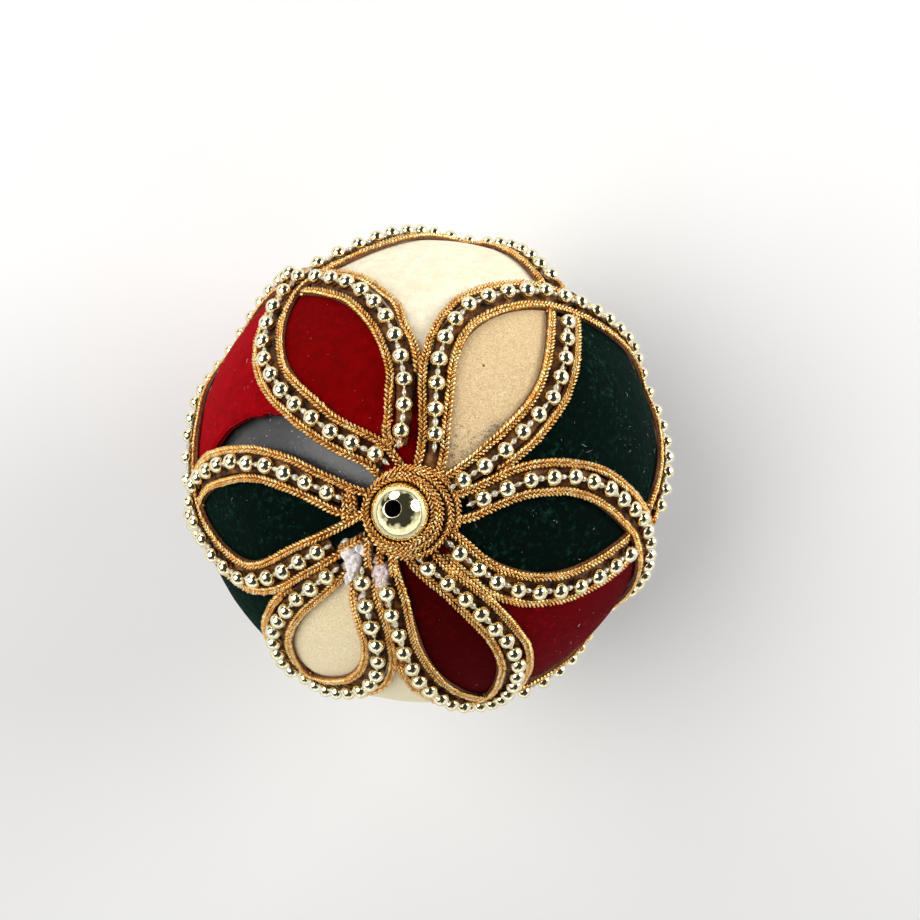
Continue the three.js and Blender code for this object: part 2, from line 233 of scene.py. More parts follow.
class Net:
    def __init__(self, nt):
        self.nt = nt
        self.coord = nt.nodes.new("ShaderNodeTexCoord").outputs["Object"]

    def node(self, kind, **kw):
        n = self.nt.nodes.new(kind)
        for k, v in kw.items():
            setattr(n, k, v)
        return n

    def link(self, a, b):
        self.nt.links.new(a, b)

    def noise(self, scale, detail=2.0, rough=0.5, coord=None, distortion=0.0):
        n = self.node("ShaderNodeTexNoise")
        n.inputs["Scale"].default_value = scale
        n.inputs["Detail"].default_value = detail
        n.inputs["Roughness"].default_value = rough
        n.inputs["Distortion"].default_value = distortion
        self.link(coord or self.coord, n.inputs["Vector"])
        return n.outputs["Fac"]

    def voronoi(self, scale, feature="F1", out="Distance", rand=1.0):
        n = self.node("ShaderNodeTexVoronoi", feature=feature)
        n.inputs["Scale"].default_value = scale
        n.inputs["Randomness"].default_value = rand
        self.link(self.coord, n.inputs["Vector"])
        return n.outputs[out]

    def ramp(self, fac, stops):
        n = self.node("ShaderNodeValToRGB")
        el = n.color_ramp.elements
        while len(el) > 1:
            el.remove(el[-1])
        for k, (pos, col) in enumerate(stops):
            e = el[0] if k == 0 else el.new(pos)
            e.position = pos
            e.color = (*col, 1) if hasattr(col, "__len__") else (col, col, col, 1)
        self.link(fac, n.inputs["Fac"])
        return n.outputs["Color"]

    def mix(self, fac, a, b, blend="MIX"):
        n = self.node("ShaderNodeMix", data_type="RGBA", blend_type=blend)
        for sock, val in ((n.inputs[0], fac), (n.inputs[6], a), (n.inputs[7], b)):
            if hasattr(val, "node") or isinstance(val, bpy.types.NodeSocket):
                self.link(val, sock)
            elif hasattr(val, "__len__"):
                sock.default_value = (*val, 1)
            else:
                sock.default_value = val
        return n.outputs[2]

    def math(self, op, a, b=0.5, c=None):
        n = self.node("ShaderNodeMath", operation=op)
        for sock, val in zip(n.inputs, (a, b, c)):
            if val is None:
                continue
            if isinstance(val, bpy.types.NodeSocket):
                self.link(val, sock)
            else:
                sock.default_value = val
        return n.outputs[0]

    def attr(self, name):
        return self.node("ShaderNodeAttribute", attribute_name=name).outputs["Fac"]

    def bump(self, height, strength, distance, normal=None):
        n = self.node("ShaderNodeBump")
        n.inputs["Strength"].default_value = strength
        n.inputs["Distance"].default_value = distance
        self.link(height, n.inputs["Height"])
        if normal:
            self.link(normal, n.inputs["Normal"])
        return n.outputs["Normal"]


def velvet_material(name, petal, ground, shadow, lit, tint, sheen, sheen_rough, specks):
    """petal and ground: colours inside a petal and between the petals. shadow: a darker copy, painted shade
    where the pile turns from the light and the tone of darker nap patches; lit: a lighter copy, painted sheen on raised
    pile. specks: (colour, amount) of grain."""
    m, nt, bsdf = material(name)
    g = Net(nt)
    base = g.mix(g.attr("tone"), ground, petal)
    # painted shade: the colour darkens towards the shadow copy by a per-vertex amount, where the pile turns from the
    # light
    base = g.mix(g.attr("painted_shade"), base, shadow)
    nap = g.ramp(g.noise(95, 3, 0.55, distortion=0.6), [(0.33, 0.0), (0.68, 1.0)])
    base = g.mix(g.math("MULTIPLY", nap, 0.45), base, g.mix(0.5, base, shadow))
    mid = g.ramp(g.noise(620, 3, 0.6), [(0.36, 0.0), (0.66, 1.0)])
    base = g.mix(g.math("MULTIPLY", mid, 0.30), base, shadow)
    # painted sheen: light spots of the lit copy, scaled by a per-vertex amount of raised pile
    painted_sheen_spots = g.math("MULTIPLY", g.ramp(g.noise(1050, 3, 0.65), [(0.52, 0.0), (0.72, 1.0)]), g.ramp(g.noise(130, 2), [(0.42, 0.15), (0.62, 1.0)]))
    base = g.mix(g.math("MULTIPLY", painted_sheen_spots, g.attr("painted_sheen")), base, lit)
    fine = g.noise(5000, 2, 0.6)
    grain = g.ramp(fine, [(0.38, 0.0), (0.66, 1.0)])
    colour, amount = specks
    amount = g.math("MULTIPLY_ADD", g.attr("tone"), amount * 0.7, amount * 0.3)
    base = g.mix(g.math("MULTIPLY", grain, amount), base, colour)
    clump = g.ramp(g.noise(1900, 3, 0.65), [(0.50, 0.0), (0.66, 1.0)])
    base = g.mix(g.math("MULTIPLY", clump, g.math("MULTIPLY", amount, 0.42)), base, colour)
    g.link(base, bsdf.inputs["Base Color"])
    bsdf.inputs["Roughness"].default_value = 0.92
    bsdf.inputs["Specular IOR Level"].default_value = 0.03
    bsdf.inputs["Sheen Weight"].default_value = sheen
    bsdf.inputs["Sheen Roughness"].default_value = sheen_rough
    bsdf.inputs["Sheen Tint"].default_value = (*tint, 1)
    h = g.math("ADD", g.math("MULTIPLY", fine, 0.7), g.math("MULTIPLY", g.noise(1300, 2), 0.6))
    g.link(g.bump(h, 0.55, 0.00035), bsdf.inputs["Normal"])
    return m


def gold_thread():
    m, nt, bsdf = material("gold_thread")
    g = Net(nt)
    vary = g.attr("vary")
    base = g.ramp(vary, [(0.0, (0.70, 0.31, 0.06)), (0.5, (0.97, 0.61, 0.21)), (1.0, (1.0, 0.87, 0.50))])
    patch = g.ramp(g.noise(260, 2), [(0.38, 0.0), (0.68, 1.0)])
    base = g.mix(g.math("MULTIPLY", patch, 0.34), base, (0.66, 0.26, 0.04))
    fine = g.math("SINE", g.math("MULTIPLY", g.attr("lay"), 9.0))
    # painted shade: the thread's colour darkens along the grooves of the stripe bump
    base = g.mix(g.math("MULTIPLY", g.ramp(fine, [(0.0, 0.55), (0.45, 0.0)]), 0.34), base, (0.34, 0.11, 0.014))
    g.link(base, bsdf.inputs["Base Color"])
    bsdf.inputs["Metallic"].default_value = 0.92
    g.link(g.math("MULTIPLY_ADD", g.noise(5200, 2), 0.20, 0.15), bsdf.inputs["Roughness"])
    rough = g.bump(g.noise(7000, 2, 0.6), 0.45, 0.0001)
    g.link(g.bump(fine, 0.35, 0.00004, rough), bsdf.inputs["Normal"])
    return m


def painted_shade_cord():
    m, nt, bsdf = material("cord_painted_shade")
    g = Net(nt)
    # painted shade: the cord is dark brown so the gaps between the gold stitches read dark; the same material also
    # colours a real dark speck
    base = g.ramp(g.noise(3000, 2), [(0.35, (0.075, 0.017, 0.004)), (0.7, (0.28, 0.095, 0.018))])
    g.link(base, bsdf.inputs["Base Color"])
    bsdf.inputs["Roughness"].default_value = 0.6
    bsdf.inputs["Metallic"].default_value = 0.2
    g.link(g.bump(g.noise(6500, 2), 0.8, 0.0002), bsdf.inputs["Normal"])
    return m


def mirror(name, colour, worn, roughness, pits):
    m, nt, bsdf = material(name)
    g = Net(nt)
    wear = g.ramp(g.noise(900, 4, 0.65), [(0.55, 0.0), (0.74, 1.0)])
    tinted = g.mix(g.math("MULTIPLY", g.attr("vary"), 0.7), colour, tuple(c * k for c, k in zip(colour, (1.02, 0.90, 0.70))))
    g.link(g.mix(g.math("MULTIPLY", wear, 0.6), tinted, worn), bsdf.inputs["Base Color"])
    bsdf.inputs["Metallic"].default_value = 1.0
    g.link(g.math("MULTIPLY_ADD", wear, 0.12, roughness), bsdf.inputs["Roughness"])
    h = g.math("ADD", g.math("MULTIPLY", g.noise(420, 2), 1.0), g.math("MULTIPLY", g.noise(2600, 2), 0.12))
    g.link(g.bump(h, pits, 0.0006), bsdf.inputs["Normal"])
    return m


def link_material():
    m, nt, bsdf = material("bead_link")
    g = Net(nt)
    g.link(g.ramp(g.noise(1800, 2), [(0.4, (0.48, 0.42, 0.30)), (0.6, (0.80, 0.76, 0.64))]), bsdf.inputs["Base Color"])
    bsdf.inputs["Metallic"].default_value = 0.35
    bsdf.inputs["Roughness"].default_value = 0.22
    return m


def core_material():
    m, nt, bsdf = material("coated_foam")
    g = Net(nt)
    base = g.ramp(g.noise(380, 4, 0.6), [(0.35, (0.012, 0.0125, 0.015)), (0.7, (0.024, 0.025, 0.029))])
    dust = g.ramp(g.noise(2600, 1, 0.4), [(0.72, 0.0), (0.77, 1.0)])
    base = g.mix(g.math("MULTIPLY", dust, 0.8), base, (0.62, 0.62, 0.64))
    g.link(base, bsdf.inputs["Base Color"])
    bsdf.inputs["Specular IOR Level"].default_value = 0.75
    g.link(g.math("MULTIPLY_ADD", g.noise(700, 3), 0.16, 0.31), bsdf.inputs["Roughness"])
    g.link(g.bump(g.noise(1500, 3, 0.6), 0.35, 0.0002), bsdf.inputs["Normal"])
    return m


def glue_material(name, colour, transmission):
    m, nt, bsdf = material(name)
    g = Net(nt)
    g.link(g.ramp(g.noise(900, 3), [(0.4, colour), (0.7, tuple(min(1, c * 1.25) for c in colour))]), bsdf.inputs["Base Color"])
    bsdf.inputs["Roughness"].default_value = 0.09
    bsdf.inputs["IOR"].default_value = 1.48
    bsdf.inputs["Transmission Weight"].default_value = transmission
    g.link(g.bump(g.noise(520, 2, 0.5, distortion=2.2), 0.7, 0.0008), bsdf.inputs["Normal"])
    return m


def bed_material():
    m, nt, bsdf = material("trim_bed")
    g = Net(nt)
    # the bed's brown is partly the glue's own colour, partly painted shade for the recess between the braids
    base = g.ramp(g.noise(420, 3, 0.6), [(0.32, (0.020, 0.006, 0.002)), (0.50, (0.13, 0.045, 0.011)), (0.70, (0.42, 0.19, 0.055))])
    g.link(base, bsdf.inputs["Base Color"])
    bsdf.inputs["Specular IOR Level"].default_value = 0.3
    g.link(g.math("MULTIPLY_ADD", g.noise(1500, 2), 0.5, 0.22), bsdf.inputs["Roughness"])
    g.link(g.bump(g.noise(1300, 3, 0.6), 1.0, 0.0007), bsdf.inputs["Normal"])
    return m


def fibre_material(name, colour):
    m, nt, bsdf = material(name)
    g = Net(nt)
    g.link(g.ramp(g.noise(2000, 2), [(0.3, tuple(c * 0.7 for c in colour)), (0.7, colour)]), bsdf.inputs["Base Color"])
    bsdf.inputs["Roughness"].default_value = 0.7
    bsdf.inputs["Sheen Weight"].default_value = 0.3
    return m


# painted light in these colours: shadow copies are painted shade and lit copies painted sheen; the red and cream
# grounds, lighter than their petals, are partly the cloth's own tone and partly painted light where the ground faces
# the key light
M_VELVET = {
    "red": velvet_material("velvet_red", (0.255, 0.0002, 0.0004), (0.40, 0.0008, 0.0045), (0.030, 0.0001, 0.0003), (0.55, 0.004, 0.020),
                           (1.0, 0.03, 0.09), 0.13, 0.36, ((0.12, 0.0, 0.0005), 0.30)),
    "cream": velvet_material("velvet_cream", (0.86, 0.67, 0.39), (1.0, 0.965, 0.78), (0.70, 0.54, 0.31), (1.0, 0.93, 0.70),
                             (1.0, 0.93, 0.75), 0.15, 0.5, ((0.40, 0.23, 0.09), 0.62)),
    # petal 5's paler cream: partly its own paler tone, partly painted light for the brighter near side of the ball
    "pale": velvet_material("velvet_cream_pale", (1.0, 0.875, 0.58), (1.0, 0.93, 0.66), (0.95, 0.80, 0.52), (1.0, 0.96, 0.78),
                            (1.0, 0.94, 0.78), 0.30, 0.5, ((0.54, 0.35, 0.14), 0.50)),
    "green": velvet_material("velvet_green", (0.0012, 0.0085, 0.0055), (0.0010, 0.0088, 0.0056), (0.0004, 0.0017, 0.0013), (0.010, 0.050, 0.038),
                             (0.10, 0.75, 0.50), 0.042, 0.36, ((0.0006, 0.003, 0.002), 0.35)),
}
M_GOLD, M_CORD_SHADE_AND_SPECK = gold_thread(), painted_shade_cord()
M_BEAD = mirror("bead_mirror", (0.87, 0.835, 0.62), (0.62, 0.54, 0.32), 0.085, 0.35)
M_BIG = mirror("centre_bead_mirror", (0.90, 0.82, 0.48), (0.62, 0.55, 0.30), 0.045, 0.10)
M_LINK, M_CORE = link_material(), core_material()
M_GLUE = glue_material("glue_clear", (1.0, 0.92, 0.90), 0.06)
M_GLUE_MAUVE = glue_material("glue_mauve", (0.90, 0.72, 0.73), 0.14)
M_GLUE_AMBER = glue_material("glue_amber", (0.66, 0.34, 0.19), 0.55)
M_BED = bed_material()


# -------------------------------------------------------------------- strands
def natural(points):
    p = np.array(points)
    h = np.sqrt(np.linalg.norm(np.diff(p, axis=0), axis=1))
    u = np.concatenate([[0], np.cumsum(h)])
    n = len(p)
    a, r = np.eye(n), np.zeros((n, 3))
    for i in range(1, n - 1):
        a[i, i - 1:i + 2] = h[i - 1], 2 * (h[i - 1] + h[i]), h[i]
        r[i] = 6 * ((p[i + 1] - p[i]) / h[i] - (p[i] - p[i - 1]) / h[i - 1])
    m = np.linalg.solve(a, r)
    t = np.linspace(0, u[-1], 2001)
    i = np.clip(np.searchsorted(u, t, side="right") - 1, 0, n - 2)
    hh, b = h[i][:, None], ((t - u[i]) / h[i])[:, None]
    a_ = 1 - b
    return unit(a_ * p[i] + b * p[i + 1] + ((a_ ** 3 - a_) * m[i] + (b ** 3 - b) * m[i + 1]) * hh * hh / 6)


def carry(a, b, mm, pull=0.035):
    """Points carried on from a through b, bending towards the top of the ball."""
    d, p, out = unit(b - a), b, []
    for _ in range(int(mm / 0.1)):
        top = unit(np.array([0, 0, 1.0]) - p[2] * p)
        d = unit(d - (d @ p) * p)
        d = unit(d + pull * (top - d))
        p = unit(p + d * 0.1 / BASE)
        out.append(p)
    return np.array(out)


class Strand:
    """One whole loop: unit points every 0.1 mm or so, with s in mm from colat 14."""

    def __init__(self, i):
        p, q, w = PETALS[i], PETALS[(i + 1) % 6], BOWS[i]
        off = 360 if i == 5 else 0
        pts = [sph(c, p[f"a{c}"]) for c in EDGE] + [sph(p["tipColat"], p["tipAz"]), sph(w["inColat"], w["inAz"]),
               sph(w["lowColat"], w["lowAz"]), sph(w["outColat"], w["outAz"]), sph(q["tipColat"], q["tipAz"] + off)]
        pts += [sph(c, q[f"b{c}"] + off) for c in reversed(EDGE)]
        mid = natural(pts)
        self.u = np.concatenate([carry(mid[1], mid[0], 9)[::-1], mid, carry(mid[-2], mid[-1], 9)])
        seg = np.linalg.norm(np.diff(self.u, axis=0), axis=1) * (BASE + BEAD_R)
        s = np.concatenate([[0], np.cumsum(seg)])
        self.s = s - s[np.argmax((self.u == mid[0]).all(axis=1))]
        self.length = self.s[np.argmax((self.u == mid[-1]).all(axis=1))]
        t = unit(np.gradient(self.u, axis=0))
        self.t = t
        self.side = unit(np.cross(t, self.u))       # to the inside of the loop
        self.number = i

    def line(self, side):
        if not side:
            return self.u
        key = "_in" if side > 0 else "_out"
        ends = []
        for petal, part, s in ((self.number + 1, "ccw", self.s), ((self.number + 1) % 6 + 1, "cw", self.length - self.s)):
            near = NEAR_OFFSET.get(f"{petal}{part}{key}", 1.72)
            ends.append(near + (2.05 - near) * smooth(s, 1, 13) + (OFFSET_FAR - 2.05) * smooth(s, 14, 28))
        w = smooth(self.s, 0.35 * self.length, 0.65 * self.length)
        offset = ends[0] * (1 - w) + ends[1] * w
        return unit(self.u + self.side * (side * offset / BASE)[:, None])


strands = [Strand(i) for i in range(6)]
TIP = [sph(p["tipColat"], p["tipAz"]) for p in PETALS]


def nearest(points, line):
    """Distance in mm from each of the unit points to a polyline of unit points."""
    out = np.empty(len(points))
    for k in range(0, len(points), 400):
        d = points[k:k + 400, None] - line[None]
        out[k:k + 400] = np.sqrt((d * d).sum(-1).min(-1))
    return out * (BASE + 0.6)


COIL_CENTRE = np.array([0.75, 0.25])
lines = []      # dicts of every run of trim: petal, part, kind, u (unit points), side, up
for i in range(6):
    st, nx = strands[i], strands[(i + 1) % 6]
    over = nx.u[(np.linalg.norm(nx.u - TIP[(i + 1) % 6], axis=1) * BASE < 16)][::3]
    for kind, side in (("braid_in", 1), ("beads", 0), ("braid_out", -1)):
        u = st.line(side)
        need_out, need_back = (2.62, 4.2) if kind == "beads" else (2.95, 2.95)
        near = np.linalg.norm(u - TIP[(i + 1) % 6], axis=1) * BASE < 14
        dist = np.full(len(u), 99.0)
        dist[near] = nearest(u[near], over)
        cross = int(np.argmin(np.linalg.norm(u - TIP[(i + 1) % 6], axis=1)))
        e = cross
        while e > 0 and dist[e] < need_out:
            e -= 1
        b = cross
        while b < len(u) - 1 and dist[b] < need_back:
            b += 1
        for part, petal, sl in (("ccw", i + 1, slice(0, e + 1)), ("cw", (i + 1) % 6 + 1, slice(b, None))):
            u_, s_ = u[sl], (st.s[sl] if part == "ccw" else st.length - st.s[sl])
            side_, t_ = st.side[sl], st.t[sl]
            if part == "cw":        # always from the centre outwards
                u_, s_, side_, t_ = u_[::-1], s_[::-1], side_[::-1], -t_[::-1]
            lines.append({"petal": petal, "part": part, "kind": kind, "u": u_, "s": s_, "side": side_, "t": t_})

by_name = {(r["petal"], r["part"], r["kind"]): r for r in lines}
ORDER = [("braid_in", "ccw"), ("braid_in", "cw"), ("braid_out", "ccw"), ("braid_out", "cw")]

placed = []
for kind, part in ORDER:
    for petal in range(1, 7):
        r = by_name[petal, part, kind]
        u = r["u"]
        head = np.arange(len(u)) < 420                       # within about 36 mm of the coil
        rad = np.hypot(u[:, 0] * BASE - COIL_CENTRE[0], u[:, 1] * BASE - COIL_CENTRE[1])
        bad = (rad < 5.75) | (r["s"] < START.get(f"{petal}{part}{kind[5:]}", -9))
        limit = r["s"] < (30 if kind == "braid_out" else 22)
        for o in placed:
            if (o["petal"], o["part"]) == (petal, part):
                continue
            k = np.where(limit)[0]
            bad[k] |= nearest(u[k], o["u"][o["s"] < 40][::4]) < 0.62
        last = np.where(bad & limit)[0]
        first = last[-1] + 1 if len(last) else 0
        r["tuck"] = 2.6 if first and rad[first] > 7.2 else 0.9
        for key in ("u", "s", "side", "t"):
            r[key] = r[key][first:]
        placed.append(r)


# --------------------------------------------------------------------- braids
def braid(out, path, up, width=BRAID_W, height=BRAID_H, pitch=STITCH, seed=0, tuck=(0.7, 0.7), tone=0.5):
    """A flat plait of two rows of stitches along path (mm), lying on the surface whose
    outward direction is up. tuck: how far from each end it dips into the pile."""
    r = np.random.default_rng(seed)
    seg = np.concatenate([[0], np.cumsum(np.linalg.norm(np.diff(path, axis=0), axis=1))])
    total = seg[-1]
    n = max(3, int(round(total / pitch)))

    def at(s, a):
        return np.stack([np.interp(s, seg, a[:, k]) for k in range(3)], -1)

    def frames(s):
        p, w = at(s, path), unit(at(s, up))
        t = unit(at(np.clip(s + 0.25, 0, total), path) - at(np.clip(s - 0.25, 0, total), path))
        w = unit(w - (w * t).sum(-1, keepdims=True) * t)
        sink = 0.75 * (1 - smooth(s, 0, tuck[0])) + 0.75 * (1 - smooth(total - s, 0, tuck[1]))
        return p - w * (sink * height)[:, None], t, np.cross(t, w), w

    # the cord under the stitches, dark brown as painted shade for the gaps between them
    k = max(3, int(total / 0.7))
    s = np.linspace(0, total, k)
    p, t, x, w = frames(s)
    sec = [(-0.44, 0.0), (-0.40, 0.36), (-0.2, 0.52), (0.2, 0.52), (0.40, 0.36), (0.44, 0.0)]
    ring = np.stack([p + x * (a * width) + w * (b * height) for a, b in sec], 1)
    q = len(sec)
    out.add(ring.reshape(-1, 3), [grid_faces(k, q, 0, True), np.array([list(range(q))[::-1]]), np.array([[(k - 1) * q + j for j in range(q)]])], 1, 0.3)
    # the stitches
    wob = np.interp(np.arange(n) * pitch, np.arange(0, total + 6, 3.0), r.normal(0, 0.045, len(np.arange(0, total + 6, 3.0))))
    tilt = np.interp(np.arange(n) * pitch, np.arange(0, total + 8, 4.0), r.normal(0, 0.16, len(np.arange(0, total + 8, 4.0))))
    for row, sign in ((0, 1), (1, -1)):
        s = (np.arange(n) + 0.25 + 0.5 * row) * total / n
        s = np.clip(s, 0.05, total - 0.05)
        p, t, x, w = frames(s)
        c, sn = np.cos(tilt)[:, None], np.sin(tilt)[:, None]
        x, w = x * c + w * sn, w * c - x * sn
        place = p + x * (sign * 0.235 * width + wob + r.normal(0, 0.018, n))[:, None] + w * (height * (0.60 + r.normal(0, 0.025, n)))[:, None]
        ang = (sign * 38 + r.normal(0, 4.5, n)) * DEG
        d = t * np.cos(ang)[:, None] + x * np.sin(ang)[:, None] + w * (0.14 + r.normal(0, 0.09, n))[:, None]
        d = unit(d)
        y = unit(np.cross(w, d))
        z = np.cross(d, y)
        size = 1 + r.normal(0, 0.07, n)
        f = np.stack([place, d * (0.55 * pitch / STITCH * size)[:, None], y * (0.230 * width / BRAID_W * size)[:, None], z * (0.36 * height * size)[:, None]], 1)
        stamp(STITCH_T, STITCH_F, f, 0, out, np.clip(tone + r.normal(0, 0.21, n), 0, 1))


# braid ends that curl on past their strand's last bead: colat, azimuth
CURL = {"petal1_cw_braid_in": [[17.6, 347.2], [16.0, 346.3], [14.6, 346.9], [13.7, 350.2], [13.4, 355.7], [14.0, 0.6]]}


def finish_piece(ob, nodes):
    if nodes:
        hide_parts(*nodes)
    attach(ob, "root")
    return ob


for k, r in enumerate(lines):
    if r["kind"] == "beads":
        continue
    name = f"petal{r['petal']}_{r['part']}_{r['kind']}"
    u = r["u"][::6]
    path = u * BASE + CENTRE
    out = Builder()
    if name in CURL:
        way = natural([sph(c, a) for c, a in CURL[name]])[::25]
        way = np.concatenate([way[::-1], u[np.linalg.norm(u - way[0], axis=1) * BASE > 0.5]])
        u = way if np.linalg.norm(way[-1] - u[-1]) < 1e-6 else u
        path = u * BASE + CENTRE
    braid(out, path - u * 0.12, u, seed=100 + k, tuck=(r["tuck"], 0.7))
    finish_piece(out.make("plait_" + name, [M_GOLD, M_CORD_SHADE_AND_SPECK]), [name])

# ---------------------------------------------------------------- bead strings
for k, r in enumerate(lines):
    if r["kind"] != "beads":
        continue
    name = f"petal{r['petal']}_{r['part']}_beads"
    g = np.random.default_rng(500 + k)
    first = FIRST_BEAD["A" if r["part"] == "ccw" else "B"][r["petal"] - 1]
    s = np.arange(first, r["s"].max() + 1e-6, PITCH)
    s = s + g.normal(0, 0.05, len(s))
    s = s[(s >= r["s"].min()) & (s <= r["s"].max())]

    def at(sv, key):
        return np.stack([np.interp(sv, r["s"], r[key][:, j]) for j in range(3)], -1)
    u = unit(at(s, "u") + at(s, "side") * g.normal(0, 0.0025, len(s))[:, None])
    lift = np.zeros(len(s))
    if r["part"] == "ccw":      # the last ones ride up on the next loop's braid
        lift = 1.0 * (1 - smooth(r["s"].max() - s, 0.0, 3.4))
    place = u * (BASE + BEAD_R - 0.05 + lift)[:, None] + CENTRE
    t = unit(at(s, "t"))
    out = Builder()
    spin = unit(t + g.normal(0, 0.12, (len(s), 3)))
    y = unit(np.cross(u, spin))
    z = np.cross(spin, y)
    size = BEAD_R * (1 + g.normal(0, 0.012, len(s)))
    f = np.stack([place, spin * size[:, None], y * size[:, None], z * size[:, None]], 1)
    stamp(BALL_T, BALL_F, f, 0, out, g.random(len(s)))
    # knobs on the thread between neighbours, and one stub at the centre end
    a, b = place[:-1], place[1:]
    mid = (a + b) / 2 - (u[:-1] + u[1:]) * 0.06
    d = b - a
    gap = np.linalg.norm(d, axis=1)
    ok = gap < PITCH * 1.4
    d, mid, gap = d[ok] / gap[ok][:, None], mid[ok], gap[ok]
    y = unit(np.cross(u[:-1][ok], d))
    z = np.cross(d, y)
    thick = 0.39 + g.normal(0, 0.05, len(d))
    f = np.stack([mid, d * ((gap - 2 * BEAD_R) / 2 + 0.16)[:, None], y * thick[:, None], z * thick[:, None]], 1)
    stamp(KNOB_T, KNOB_F, f, 1, out, g.random(len(d)))
    f = np.stack([place[:1] - t[:1] * (BEAD_R + 0.5) - u[:1] * 0.2, t[:1] * 0.75, y[:1] * 0.34, z[:1] * 0.34], 1)
    stamp(KNOB_T, KNOB_F, f, 1, out, g.random(1))
    finish_piece(out.make("string_" + name, [M_BEAD, M_LINK]), [name])

# the glued bed that each string lies in, between its two braids; its darkness is partly painted shade for that recess
for k, r in enumerate(lines):
    if r["kind"] != "beads":
        continue
    g = np.random.default_rng(700 + k)
    reach = {(2, "ccw"): 8, (3, "cw"): 4, (4, "ccw"): 4}.get((r["petal"], r["part"]), 1.9)
    begin = FIRST_BEAD["A" if r["part"] == "ccw" else "B"][r["petal"] - 1] - reach
    u, side, s_ = (r[key][r["s"] >= begin][::5] for key in ("u", "side", "s"))
    n = len(u)
    half = 1.42 + 0.10 * value_noise(u * BASE, 1.3, 90 + k)
    near = smooth(s_, -1, 10)
    half = half * (0.72 + 0.28 * near)
    sec = np.array([(-1, -0.55), (-0.97, -0.18), (-0.5, 0.02), (0, 0.06), (0.5, 0.02), (0.97, -0.18), (1, -0.55)])
    across = half[:, None] * sec[None, :, 0]
    ring = unit(u[:, None] + side[:, None] * (across / BASE)[..., None])
    high = BASE - 0.02 + sec[None, :, 1] + 0.10 * value_noise(ring * BASE, 0.7, 95 + k)
    ring = ring * high[..., None] + CENTRE
    q = len(sec)
    out = Builder()
    out.add(ring.reshape(-1, 3), [grid_faces(n, q, 0, True), np.array([list(range(q))[::-1]]), np.array([[(n - 1) * q + j for j in range(q)]])], 0, 0.5)
    finish_piece(out.make(f"bed_petal{r['petal']}_{r['part']}", [M_BED]), [])

# ------------------------------------------------------------------------ coil
BEAD_XY = np.array([-0.12, 0.14])
turns = 3.35
th = np.linspace(0, turns * 2 * math.pi, int(turns * 90))
v = np.clip((th / (2 * math.pi) - 0.8) / (turns - 0.8), 0, 1)      # the first turn hugs the bead
ang = th + 6.144
dx, dy = np.sin(ang), np.cos(ang)
wobble = 0.05 * np.sin(ang * 3.1 + 1) + 0.04 * np.sin(ang * 5.3)
rad = 4.38 + v * (1.74 + 1.50 * dx - 0.90 * dy + 0.16 * (dy * dy - dx * dx)) + wobble * (0.1 + v)
xy = np.stack([BEAD_XY[0] + rad * dx, BEAD_XY[1] + rad * dy], -1)
rise = 2.80 * (1 - v) ** 1.05 + 0.02
zz = np.sqrt(BASE ** 2 - (xy ** 2).sum(-1))
path = np.concatenate([xy, zz[:, None]], 1)
n = unit(path)
out_dir = np.stack([dx, dy, 0 * dx], -1)
up = unit(n + out_dir * (0.18 + 0.62 * np.minimum(1, 2 * v) * (0.5 + 0.5 * dx))[:, None])
path = path + n * rise[:, None] + CENTRE
out = Builder()
braid(out, path, up, width=1.16, height=1.0, pitch=0.64, seed=77, tuck=(0.6, 1.2), tone=0.40)
finish_piece(out.make("plait_centre_coil", [M_GOLD, M_CORD_SHADE_AND_SPECK]), ["centre_coil"])

# ------------------------------------------------------------------ centre bead
prof = []
open_ = math.asin((BORE_R + 0.07) / BIG_R)
for k in range(41):
    a = math.pi - open_ - (math.pi - 2 * open_) * k / 40
    prof.append((BIG_R * math.sin(a), BIG_R * math.cos(a)))
for a in (0.030, 0.008):       # close rings keep the shading of the lip tight
    prof.insert(-1, (BIG_R * math.sin(open_ + a), BIG_R * math.cos(open_ + a)))
    prof.insert(1, (BIG_R * math.sin(open_ + a), -BIG_R * math.cos(open_ + a)))
shell = len(prof) - 1
top = prof[-1][1]
lip = [(BORE_R + 0.03, top - 0.01), (BORE_R + 0.006, top - 0.05), (BORE_R, top - 0.16)]
prof += lip + [(BORE_R, top * f) for f in (0.6, 0.2, -0.2, -0.6)] + [(x, -z) for x, z in lip[::-1]]
prof = np.array(prof)
seg = 72
a = np.arange(seg) * 2 * math.pi / seg
ring = np.stack([prof[:, 0, None] * np.sin(a), prof[:, 0, None] * np.cos(a), np.broadcast_to(prof[:, 1, None], (len(prof), seg))], -1)
f = grid_faces(len(prof), seg, 0, True)
join = np.stack([(len(prof) - 1) * seg + np.arange(seg), (len(prof) - 1) * seg + (np.arange(seg) + 1) % seg, (np.arange(seg) + 1) % seg, np.arange(seg)], -1)
axis = Vector(sph(17, 328).tolist())
rot = np.array(Vector((0, 0, 1)).rotation_difference(axis).to_matrix())
verts = ring.reshape(-1, 3) @ rot.T + np.array([BEAD_XY[0], BEAD_XY[1], FOOT + CORE + 0.3 + 4.2])
# the bore and its lip take the dark core material, not the mirror: painted shade for the dark hole
ob = new_object("bead_centre", verts, [f[:shell * seg], f[shell * seg:], join], [M_BIG, M_CORE], [0, 1, 1])
finish_piece(ob, ["centre_bead"])

